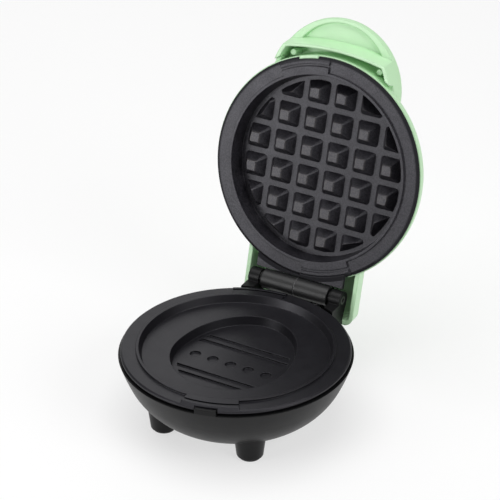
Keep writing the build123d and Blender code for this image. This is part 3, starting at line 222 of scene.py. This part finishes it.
class Finish:
    """A material with one Principled shader and the nodes that feed it."""

    def __init__(self, name):
        self.material = bpy.data.materials.new(name)
        self.material.use_nodes = True
        self.tree = self.material.node_tree
        self.shader = self.tree.nodes["Principled BSDF"]
        self.surface = self.tree.nodes["Material Output"].inputs["Surface"]
        self.place = self.node("ShaderNodeTexCoord", output="Object")

    def fill(self, socket, value):
        """Links a socket to another, or sets the plain value on it."""
        if isinstance(value, Value):
            self.tree.links.new(value.socket, socket)
        elif socket.type == "RGBA":
            socket.default_value = (*value, 1.0)
        else:
            socket.default_value = value

    def node(self, kind, settings=None, values=None, output=0):
        """Makes a node: its settings are set first, then its sockets are filled."""
        made = self.tree.nodes.new(kind)
        for name, setting in (settings or {}).items():
            setattr(made, name, setting)
        for socket, value in (values or {}).items():
            self.fill(made.inputs[socket], value)
        return Value(self, made.outputs[output])

    def math(self, operation, *values):
        """A Math node on one or two values."""
        return self.node("ShaderNodeMath", {"operation": operation}, dict(enumerate(values)))

    def mix(self, factor, first, second):
        """A colour between two, by a factor."""
        return self.node("ShaderNodeMix", {"data_type": "RGBA"}, {0: factor, 6: first, 7: second}, 2)

    def step(self, value, low, high):
        """Rises smoothly from 0 to 1 as a value goes from low to high."""
        settings = {"interpolation_type": "SMOOTHSTEP"}
        return self.node("ShaderNodeMapRange", settings, {"Value": value, "From Min": low, "From Max": high})

    def part_of(self, vector, axis):
        """One coordinate of a vector."""
        return self.node("ShaderNodeSeparateXYZ", values={"Vector": vector}, output=axis)

    def vector(self, operation, *vectors, output="Vector"):
        """A Vector Math node on one or two vectors."""
        return self.node("ShaderNodeVectorMath", {"operation": operation}, dict(enumerate(vectors)), output)

    def stretched(self, scale):
        """The place on the piece, scaled along each axis."""
        return self.vector("MULTIPLY", self.place, scale)

    def along(self, direction, origin):
        """Distance of a place from an origin along a direction."""
        offset = self.vector("SUBTRACT", self.place, origin)
        return self.vector("DOT_PRODUCT", offset, direction, output="Value")

    def off_axis(self, direction, origin):
        """Distance of a place from the line through an origin along a direction."""
        across = self.vector("CROSS_PRODUCT", self.vector("SUBTRACT", self.place, origin), direction)
        return self.vector("LENGTH", across, output="Value")

    def facing(self, direction):
        """A direction on the piece, which turns with it."""
        settings = {"vector_type": "NORMAL", "convert_from": "OBJECT", "convert_to": "WORLD"}
        return self.node("ShaderNodeVectorTransform", settings, {"Vector": direction})

    def blend(self, factor, first, second):
        """A direction between two, by a factor."""
        return self.node("ShaderNodeMix", {"data_type": "VECTOR"}, {0: factor, 4: first, 5: second}, 1)

    def reach(self, point):
        """Distance of a place from a point."""
        return self.vector("DISTANCE", self.place, point, output="Value")

    def noise(self, size, detail=3.0, place=None):
        """Cloudy grain, about a given length across."""
        values = {"Vector": place or self.place, "Scale": 1.0 / size, "Detail": detail, "Roughness": 0.55}
        return self.node("ShaderNodeTexNoise", {}, values, "Fac")

    def soft_edge(self, radius):
        """The surface's direction with its edges softened to a radius."""
        return self.node("ShaderNodeBevel", {"samples": 8}, {"Radius": radius})

    def bump(self, height, strength, depth, normal):
        """The surface's direction, roughened by a height."""
        values = {"Height": height, "Strength": strength, "Distance": depth, "Normal": normal}
        return self.node("ShaderNodeBump", {}, values)

    def shade(self, values):
        """Fills the shader's sockets and gives the material."""
        for socket, value in values.items():
            self.fill(self.shader.inputs[socket], value)
        return self.material


def toned(tint, share_of_light):
    """A colour made lighter or darker."""
    return tuple(min(1.0, part * share_of_light) for part in tint)


def dress(material, *nodes):
    """Gives pieces of the frame their finish."""
    for name in nodes:
        slots = frame["nodes"][name].data.materials
        slots.clear()
        slots.append(material)


def lid_axis():
    """The middle of the open lid's rim, and the direction from there into the lid."""
    hinge = frame["record"]["behaviour"]["joints"][0]
    opening = radians(hinge["range_deg"][1])
    rearward = Vector((0.0, cos(opening), -sin(opening)))
    middle = Vector(hinge["pos_m"]) - rearward * hinge["pos_m"][1]
    return middle, Vector((0.0, sin(opening), cos(opening)))


def moulded_plastic(finish, tint, roughness, gloss, grain, normal):
    """Moulded plastic: faint drift of colour, spark-eroded grain, handling smears and softened edges."""
    drift = finish.noise(DRIFT_SIZE, detail=2.0)
    smear = finish.noise(SMEAR_SIZE, detail=4.0)
    height = finish.noise(grain, detail=2.0)
    return finish.shade(
        {
            "Base Color": finish.mix(drift, toned(tint, 0.94), toned(tint, 1.06)),
            "Roughness": roughness - 0.07 + 0.14 * smear,
            "Specular IOR Level": gloss,
            "Normal": finish.bump(height, strength=0.22, depth=0.12 * grain, normal=normal),
        }
    )


def brushed_metal(name, tint, brush, lines, roughness):
    """Metal with fine lines along one axis, blotches of tarnish and uneven gloss."""
    finish = Finish(name)
    line = finish.noise(brush, place=finish.stretched(lines))
    blotch = finish.noise(BLOTCH_SIZE, detail=4.0)
    edge = finish.soft_edge(METAL_EDGE)
    return finish.shade(
        {
            "Base Color": finish.mix(blotch, toned(tint, 0.82), toned(tint, 1.08)),
            "Metallic": 1.0,
            "Roughness": roughness - 0.1 + 0.12 * line + 0.1 * blotch,
            "Normal": finish.bump(line, strength=0.15, depth=0.1 * brush, normal=edge),
        }
    )


class WAFFLE_OT_lid_shell(bpy.types.Operator):
    """Gives the lid shell its mint green moulding."""

    bl_idname = "waffle.lid_shell"
    bl_label = "Lid shell"

    def execute(self, context):
        colours, textures = context.scene.waffle_colours, context.scene.waffle_textures
        finish = Finish("shell_plastic")
        shell = moulded_plastic(
            finish,
            colours.shell,
            roughness=0.38,
            gloss=0.6,
            grain=textures.shell_grain,
            normal=self.crown(finish, finish.soft_edge(textures.shell_edge)),
        )
        dress(shell, "lid_shell")
        return {"FINISHED"}

    def crown(self, finish, normal):
        """The surface's direction, made even round the very top of the dome."""
        middle, inward = lid_axis()
        top = 1.0 - finish.step(finish.off_axis(inward, middle), *CROWN_FALL)
        outside = finish.step(finish.along(inward, middle), *DOME_RISE)
        return finish.blend(top * outside, normal, finish.facing(inward))


class WAFFLE_OT_plates(bpy.types.Operator):
    """Gives both cast plates their flecked non-stick coating, with a painted highlight on the studs' crests
    and painted shade on the upper plate's outer bevel.
    """

    bl_idname = "waffle.plates"
    bl_label = "Cooking plates"

    def execute(self, context):
        upper, lower = Finish("upper_coating"), Finish("lower_coating")
        middle, inward = lid_axis()
        grid = self.coating(
            context.scene,
            upper,
            flecked=1.0,
            gloss=0.52,
            highlighted=self.crests(upper, middle, inward),
            dull_shaded_bevel=self.edge(upper, middle),
        )
        pan = self.coating(context.scene, lower, flecked=0.1, gloss=0.46, highlighted=0.0, dull_shaded_bevel=0.0)
        dress(grid, "upper_plate")
        dress(pan, "lower_plate")
        return {"FINISHED"}

    def crests(self, finish, middle, inward):
        """Is 1 on the flat crests of the upper plate's studs."""
        depth = finish.along(inward, middle)
        flat = finish.step(depth, *CREST_RISE) - finish.step(depth, *CREST_FALL)
        return flat * (1.0 - finish.step(finish.reach(middle), *GRID_FALL))

    def edge(self, finish, middle):
        """Is 1 on the bevel round the outside of a plate, where it is made rougher and darkened as painted
        shade.
        """
        reach = finish.reach(middle)
        return finish.step(reach, *BEVEL_RISE) - finish.step(reach, *BEVEL_FALL)

    def coating(self, scene, finish, flecked, gloss, highlighted, dull_shaded_bevel):
        """A plate's coating: clouded ground, pale grain, orange peel, a painted highlight on the crests and
        a dull bevel darkened as painted shade.
        """
        colours, textures = scene.waffle_colours, scene.waffle_textures
        grain = finish.noise(textures.fleck_size, detail=1.0)
        pale = 1.0 - textures.fleck_share
        # On the outer bevel the pale grain is taken out: painted shade that darkens the ring. Its roughness
        # is raised below as well.
        fleck = finish.step(grain, pale - FLECK_BLUR, pale + FLECK_BLUR) * (flecked - flecked * dull_shaded_bevel)
        cloud = finish.noise(CLOUD_SIZE, detail=4.0)
        peel = finish.noise(textures.peel_size)
        ground = finish.mix(cloud, toned(colours.coating, 0.75), toned(colours.coating, 1.25))
        # Painted highlight: the studs' crests are mixed towards the pale crest colour in place of the light
        # on their tops.
        highlighted_ground = finish.mix(highlighted * (0.6 + 0.4 * cloud), ground, tuple(colours.crest_highlight))
        edge = finish.soft_edge(textures.coating_edge)
        relief = 0.2 + 0.4 * flecked
        return finish.shade(
            {
                "Base Color": finish.mix(fleck, highlighted_ground, tuple(colours.fleck)),
                "Roughness": 0.34 + 0.14 * cloud + dull_shaded_bevel * 0.5,
                "Specular IOR Level": gloss,
                "Specular Tint": (0.94, 0.93, 1.0),
                "Normal": finish.bump(peel, strength=relief, depth=0.00008, normal=edge),
            }
        )


class WAFFLE_OT_base(bpy.types.Operator):
    """Gives the base bowl and the cord's inlet bush their black mouldings."""

    bl_idname = "waffle.base"
    bl_label = "Base and inlet"

    def execute(self, context):
        colours, textures = context.scene.waffle_colours, context.scene.waffle_textures
        grain = textures.bowl_grain
        finish = Finish("base_moulding")
        edge = finish.soft_edge(textures.bowl_edge)
        bowl = moulded_plastic(finish, colours.bowl, roughness=0.40, gloss=0.2, grain=grain, normal=edge)
        finish = Finish("inlet_plastic")
        edge = finish.soft_edge(SMALL_EDGE)
        black = toned(colours.bowl, 0.8)
        bush = moulded_plastic(finish, black, roughness=0.5, gloss=0.3, grain=grain, normal=edge)
        dress(bowl, "base_bowl")
        dress(bush, "cord_inlet_bush")
        return {"FINISHED"}


class WAFFLE_OT_feet(bpy.types.Operator):
    """Gives the foot pads their rubber, dusty towards the table."""

    bl_idname = "waffle.feet"
    bl_label = "Foot pads"

    def execute(self, context):
        rubber = tuple(context.scene.waffle_colours.rubber)
        finish = Finish("foot_rubber")
        height = finish.part_of(finish.place, "Z")
        dust = finish.noise(DUST_SIZE, detail=4.0) * (1.0 - finish.step(height, *DUST_FALL))
        grip = finish.noise(GRIP_SIZE, detail=2.0)
        edge = finish.soft_edge(PAD_EDGE)
        finish.shade(
            {
                "Base Color": finish.mix(dust, rubber, toned(rubber, 4.0)),
                "Roughness": 0.75 + 0.15 * grip,
                "Normal": finish.bump(grip, strength=0.4, depth=0.00005, normal=edge),
            }
        )
        dress(finish.material, "foot_pads")
        return {"FINISHED"}


class WAFFLE_OT_hinge(bpy.types.Operator):
    """Gives the hinge barrel its black moulding with a parting line painted pale as a highlight, and the
    pins their steel.
    """

    bl_idname = "waffle.hinge"
    bl_label = "Hinge"

    def execute(self, context):
        colours, textures = context.scene.waffle_colours, context.scene.waffle_textures
        finish = Finish("hinge_moulding")
        across = abs(finish.part_of(finish.place, "X"))
        # Painted highlight: a pale band along the barrel's parting line, where the seam would catch the
        # light.
        seam = 1.0 - finish.step(across, *SEAM_FALL)
        smear = finish.noise(BLOTCH_SIZE, detail=4.0)
        grain = finish.noise(textures.bowl_grain, detail=2.0)
        edge = finish.soft_edge(textures.bowl_edge)
        finish.shade(
            {
                "Base Color": finish.mix(seam, tuple(colours.barrel), tuple(colours.seam)),
                "Roughness": 0.38 + 0.14 * smear,
                "Specular IOR Level": 0.58,
                "Normal": finish.bump(grain, strength=0.3, depth=0.00006, normal=edge),
            }
        )
        dress(finish.material, "hinge_barrel")
        dull = toned(colours.steel, 0.35)
        pins = brushed_metal("pin_steel", dull, textures.brush_size, DRAWN_X, roughness=0.45)
        dress(pins, "hinge_pins")
        return {"FINISHED"}


class WAFFLE_OT_heaters(bpy.types.Operator):
    """Gives the heating elements, their clamps, the heat shield and the reflector their metals."""

    bl_idname = "waffle.heaters"
    bl_label = "Heaters"

    def execute(self, context):
        colours, brush = context.scene.waffle_colours, context.scene.waffle_textures.brush_size
        sheath = brushed_metal("element_sheath", colours.sheath, brush, SHEATH_Z, roughness=0.52)
        steel = brushed_metal("sheet_steel", colours.steel, brush, ROLLED_X, roughness=0.38)
        bright = brushed_metal("reflector_aluminium", colours.aluminium, brush, ROLLED_X, roughness=0.28)
        dress(sheath, "lower_heating_element", "upper_heating_element")
        dress(steel, "lower_element_clamp", "upper_element_clamp", "lower_heat_shield", "fuse_strap")
        dress(bright, "upper_reflector")
        return {"FINISHED"}


class WAFFLE_OT_screws(bpy.types.Operator):
    """Gives the screws their zinc plating."""

    bl_idname = "waffle.screws"
    bl_label = "Screws"

    def execute(self, context):
        colours, brush = context.scene.waffle_colours, context.scene.waffle_textures.brush_size
        zinc = brushed_metal("screw_steel", colours.zinc, brush, TURNED_Z, roughness=0.3)
        dress(zinc, "base_screws", "upper_clamp_screws", "hinge_barrel_screws")
        return {"FINISHED"}


class WAFFLE_OT_controls(bpy.types.Operator):
    """Gives the thermostat, the fuse and the terminal block their finishes."""

    bl_idname = "waffle.controls"
    bl_label = "Controls"

    def execute(self, context):
        colours, brush = context.scene.waffle_colours, context.scene.waffle_textures.brush_size
        cap = brushed_metal("control_steel", toned(colours.steel, 0.9), brush, TURNED_Z, roughness=0.34)
        brass = brushed_metal("fuse_brass", colours.brass, brush, DRAWN_X, roughness=0.32)
        finish = Finish("terminal_plastic")
        edge = finish.soft_edge(SMALL_EDGE)
        white = colours.terminal
        block = moulded_plastic(finish, white, roughness=0.36, gloss=0.5, grain=BLOCK_GRAIN, normal=edge)
        dress(cap, "thermostat")
        dress(brass, "thermal_fuse")
        dress(block, "terminal_block")
        return {"FINISHED"}


class WAFFLE_OT_leads(bpy.types.Operator):
    """Gives the leads their woven sleeve."""

    bl_idname = "waffle.leads"
    bl_label = "Leads"

    def execute(self, context):
        sleeve = tuple(context.scene.waffle_colours.sleeve)
        strand = context.scene.waffle_textures.weave_size
        finish = Finish("lead_sleeve")
        twist = {"wave_type": "BANDS", "bands_direction": "DIAGONAL"}
        values = {"Scale": WAVE_REPEAT / strand, "Distortion": 0.4}
        over = finish.node("ShaderNodeTexWave", twist, {"Vector": finish.place, **values}, "Fac")
        back = finish.stretched((-1.0, 1.0, 1.0))
        under = finish.node("ShaderNodeTexWave", twist, {"Vector": back, **values}, "Fac")
        weave = over * under
        edge = finish.soft_edge(SLEEVE_EDGE)
        finish.shade(
            {
                "Base Color": finish.mix(weave, toned(sleeve, 0.6), sleeve),
                "Roughness": 0.85 - 0.1 * weave,
                "Normal": finish.bump(weave, strength=0.5, depth=0.0001, normal=edge),
            }
        )
        dress(finish.material, "base_leads", "lid_leads")
        return {"FINISHED"}


class WAFFLE_OT_indicator(bpy.types.Operator):
    """Gives the indicator its clear diffusing lens and its tinted glass lamp."""

    bl_idname = "waffle.indicator"
    bl_label = "Indicator"

    def execute(self, context):
        colours = context.scene.waffle_colours
        lens = self.clear("lens_plastic", tuple(colours.lens), roughness=0.25, clearness=0.5)
        lamp = self.clear("lamp_glass", tuple(colours.lamp), roughness=0.08, clearness=0.8)
        dress(lens, "indicator_lens")
        dress(lamp, "indicator_lamp")
        return {"FINISHED"}

    def clear(self, name, tint, roughness, clearness):
        """A see-through finish with a faint haze."""
        finish = Finish(name)
        haze = finish.noise(HAZE_SIZE)
        edge = finish.soft_edge(CLEAR_EDGE)
        return finish.shade(
            {
                "Base Color": finish.mix(haze, toned(tint, 0.9), tint),
                "Roughness": roughness + 0.1 * haze,
                "Transmission Weight": clearness,
                "IOR": 1.49,
                "Normal": finish.bump(haze, strength=0.2, depth=0.00005, normal=edge),
            }
        )


class WAFFLE_OT_studio(bpy.types.Operator):
    """Sets the pale floor, the soft lights and the camera."""

    bl_idname = "waffle.studio"
    bl_label = "Studio"

    def execute(self, context):
        studio = context.scene.waffle_studio
        self.floor(context, studio)
        self.world(context, studio)
        self.softbox(context, "key_light", studio.key, *KEY_BOX)
        self.softbox(context, "fill_light", studio.fill, *FILL_BOX)
        self.softbox(context, "top_light", studio.top, *TOP_BOX)
        self.softbox(context, "sheen_light", studio.sheen, *SHEEN_BOX)
        self.camera(context, studio)
        context.scene.view_settings.view_transform = "Standard"
        return {"FINISHED"}

    def seen_directly(self, finish):
        """Is 1 where the eye, a mirror or clear glass looks at a surface, and 0 for soft light."""
        path = finish.node("ShaderNodeLightPath", output="Is Camera Ray")
        outputs = path.socket.node.outputs
        return path + Value(finish, outputs["Is Glossy Ray"]) + Value(finish, outputs["Is Transmission Ray"])

    def floor(self, context, studio):
        """A wide pale floor, which keeps the shadow."""
        mesh = bpy.data.meshes.new("floor")
        form = bmesh.new()
        bmesh.ops.create_grid(form, x_segments=8, y_segments=8, size=studio.floor_reach)
        form.to_mesh(mesh)
        form.free()
        ground = bpy.data.objects.new("floor", mesh)
        context.scene.collection.objects.link(ground)
        finish = Finish("floor_paint")
        drift = finish.noise(FLOOR_DRIFT_SIZE, detail=2.0)
        shade = tuple(studio.floor)
        tint = finish.mix(drift, toned(shade, 0.985), shade)
        finish.shade({"Base Color": tint, "Roughness": 1.0, "Specular IOR Level": 0.0})
        plain = finish.node("ShaderNodeEmission", {}, {"Color": (1.0, 1.0, 1.0), "Strength": 1.0})
        lift = self.seen_directly(finish) * studio.floor_lift
        paint = Value(finish, finish.shader.outputs["BSDF"])
        finish.fill(finish.surface, finish.node("ShaderNodeMixShader", {}, {0: lift, 1: paint, 2: plain}))
        mesh.materials.append(finish.material)

    def world(self, context, studio):
        """Even light from all round."""
        world = bpy.data.worlds.new("studio")
        world.use_nodes = True
        context.scene.world = world
        backdrop = world.node_tree.nodes["Background"]
        backdrop.inputs["Color"].default_value = (1.0, 1.0, 1.0, 1.0)
        backdrop.inputs["Strength"].default_value = studio.ambient

    def softbox(self, context, name, watts, place, size):
        """A square soft light that faces the piece."""
        light = bpy.data.lights.new(name, "AREA")
        light.energy = watts
        light.size = size
        box = bpy.data.objects.new(name, light)
        box.location = place
        back = Vector(place) - Vector(context.scene.waffle_studio.target)
        box.rotation_euler = back.to_track_quat("Z", "Y").to_euler()
        context.scene.collection.objects.link(box)

    def camera(self, context, studio):
        """A long lens, at the angle from which the piece was photographed."""
        data = bpy.data.cameras.new("camera")
        data.sensor_width = SENSOR_WIDTH
        data.lens = studio.lens
        eye = bpy.data.objects.new("camera", data)
        level = cos(studio.elevation)
        back = Vector((sin(studio.azimuth) * level, -cos(studio.azimuth) * level, sin(studio.elevation)))
        eye.location = Vector(studio.target) + back * studio.distance
        eye.rotation_euler = back.to_track_quat("Z", "Y").to_euler()
        context.scene.collection.objects.link(eye)
        context.scene.camera = eye


PIECES = (
    WAFFLE_OT_lid_shell,
    WAFFLE_OT_plates,
    WAFFLE_OT_base,
    WAFFLE_OT_feet,
    WAFFLE_OT_hinge,
    WAFFLE_OT_heaters,
    WAFFLE_OT_screws,
    WAFFLE_OT_controls,
    WAFFLE_OT_leads,
    WAFFLE_OT_indicator,
    WAFFLE_OT_studio,
)


class WAFFLE_PT_panel(bpy.types.Panel):
    """Lists the pieces' finishes and the studio."""

    bl_idname = "WAFFLE_PT_panel"
    bl_label = "Waffle maker"
    bl_space_type = "VIEW_3D"
    bl_region_type = "UI"
    bl_category = "Waffle maker"

    def draw(self, context):
        scene = context.scene
        for piece in PIECES:
            self.layout.operator(piece.bl_idname)
        for group in (scene.waffle_colours, scene.waffle_textures, scene.waffle_studio):
            box = self.layout.box()
            for name in group.__annotations__:
                box.prop(group, name)


GROUPS = {
    "waffle_colours": WaffleColours,
    "waffle_textures": WaffleTextures,
    "waffle_studio": WaffleStudio,
}


def register():
    """Adds the settings, the operators and the panel."""
    for name, group in GROUPS.items():
        bpy.utils.register_class(group)
        setattr(bpy.types.Scene, name, PointerProperty(type=group))
    for piece in PIECES:
        bpy.utils.register_class(piece)
    bpy.utils.register_class(WAFFLE_PT_panel)


def unregister():
    """Takes them out again."""
    bpy.utils.unregister_class(WAFFLE_PT_panel)
    for piece in reversed(PIECES):
        bpy.utils.unregister_class(piece)
    for name, group in GROUPS.items():
        delattr(bpy.types.Scene, name)
        bpy.utils.unregister_class(group)


def main():
    """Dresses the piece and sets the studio."""
    register()
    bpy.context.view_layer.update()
    bpy.ops.waffle.lid_shell()
    bpy.ops.waffle.plates()
    bpy.ops.waffle.base()
    bpy.ops.waffle.feet()
    bpy.ops.waffle.hinge()
    bpy.ops.waffle.heaters()
    bpy.ops.waffle.screws()
    bpy.ops.waffle.controls()
    bpy.ops.waffle.leads()
    bpy.ops.waffle.indicator()
    bpy.ops.waffle.studio()


if __name__ == "__main__":
    main()
